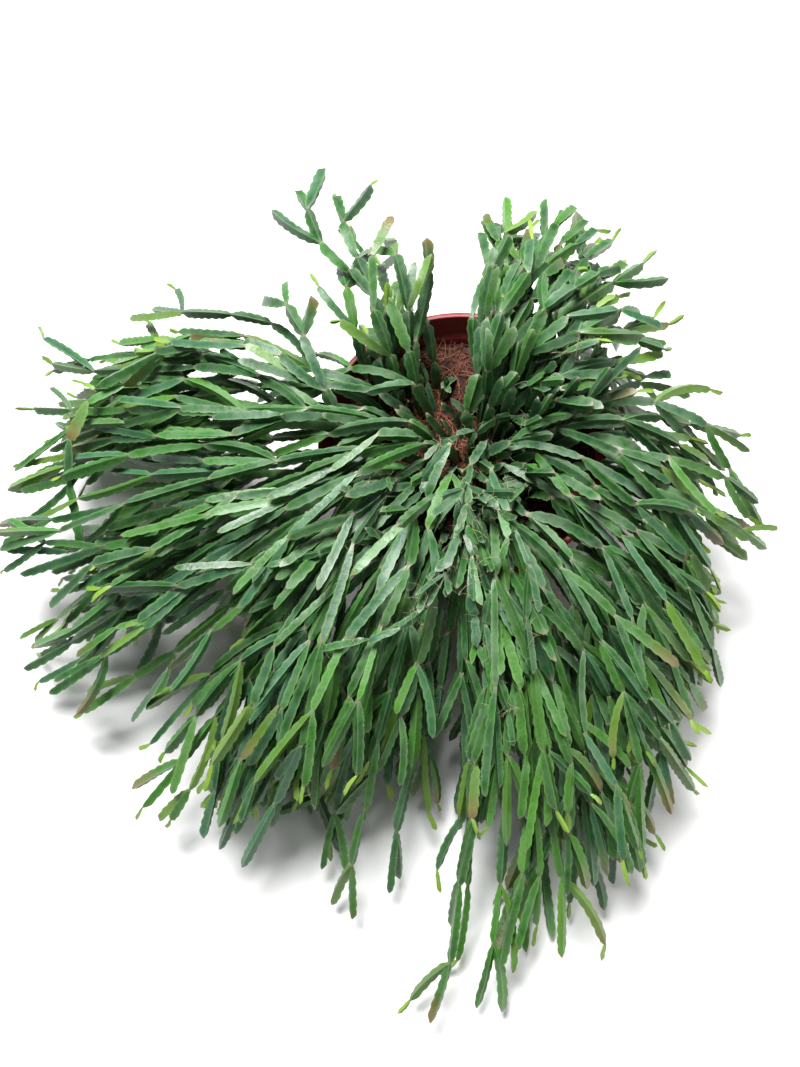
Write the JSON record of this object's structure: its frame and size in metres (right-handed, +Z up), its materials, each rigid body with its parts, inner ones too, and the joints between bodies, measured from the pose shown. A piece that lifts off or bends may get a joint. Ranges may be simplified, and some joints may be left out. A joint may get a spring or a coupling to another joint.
{
  "type": "potted rhipsalis",
  "caption": "Round tapered nursery pot filled with potting mix, holding arching, forking leafy stems of flat winged segments that trail over the rim.",
  "frame": {"origin": "centre of the pot's foot, on the surface it stands on", "axes": "+Z up; +X to the right and +Y to the back as the plant is seen in the picture, whose camera looks down from the -Y side; the longest stems trail towards -X and -Y"},
  "size_m": [0.6838, 0.6742, 0.2764],
  "materials": {
    "pot_plastic": "satin",
    "potting_mix": "matte",
    "stem_green_1": "satin",
    "stem_green_2": "satin",
    "stem_green_3": "satin"
  },
  "bodies": {
    "root": {"pot": "pot_plastic", "soil": "potting_mix", "stem_left_1": "stem_green_1", "stem_left_2": "stem_green_2", "stem_left_3": "stem_green_3", "stem_left_4": "stem_green_1", "stem_left_5": "stem_green_2", "stem_left_6": "stem_green_3", "stem_left_7": "stem_green_1", "stem_left_8": "stem_green_2", "stem_left_9": "stem_green_3", "stem_left_10": "stem_green_1", "stem_left_11": "stem_green_2", "stem_front_left_1": "stem_green_3", "stem_front_left_2": "stem_green_1", "stem_front_left_3": "stem_green_2", "stem_front_left_4": "stem_green_3", "stem_front_left_5": "stem_green_1", "stem_front_left_6": "stem_green_2", "stem_front_left_7": "stem_green_3", "stem_front_left_8": "stem_green_1", "stem_front_left_9": "stem_green_2", "stem_front_1": "stem_green_3", "stem_front_2": "stem_green_1", "stem_front_3": "stem_green_2", "stem_front_4": "stem_green_3", "stem_front_5": "stem_green_1", "stem_front_6": "stem_green_2", "stem_front_7": "stem_green_3", "stem_front_8": "stem_green_1", "stem_front_9": "stem_green_2", "stem_front_10": "stem_green_3", "stem_front_right_1": "stem_green_1", "stem_front_right_2": "stem_green_2", "stem_front_right_3": "stem_green_3", "stem_front_right_4": "stem_green_1", "stem_front_right_5": "stem_green_2", "stem_front_right_6": "stem_green_3", "stem_front_right_7": "stem_green_1", "stem_right_1": "stem_green_2", "stem_right_2": "stem_green_3", "stem_right_3": "stem_green_1", "stem_right_4": "stem_green_2", "stem_right_5": "stem_green_3", "stem_right_6": "stem_green_1", "stem_back_right_1": "stem_green_2", "stem_back_right_2": "stem_green_3", "stem_back_right_3": "stem_green_1", "stem_back_right_4": "stem_green_2", "stem_back_right_5": "stem_green_3", "stem_back_right_6": "stem_green_1", "stem_back_right_7": "stem_green_2", "stem_back_right_8": "stem_green_3", "stem_back_left_1": "stem_green_1", "stem_back_left_2": "stem_green_2", "stem_back_left_3": "stem_green_3", "stem_back_left_4": "stem_green_1", "stem_back_left_5": "stem_green_2", "stem_young_1": "stem_green_3", "stem_young_2": "stem_green_1"}
  },
  "joints": []
}
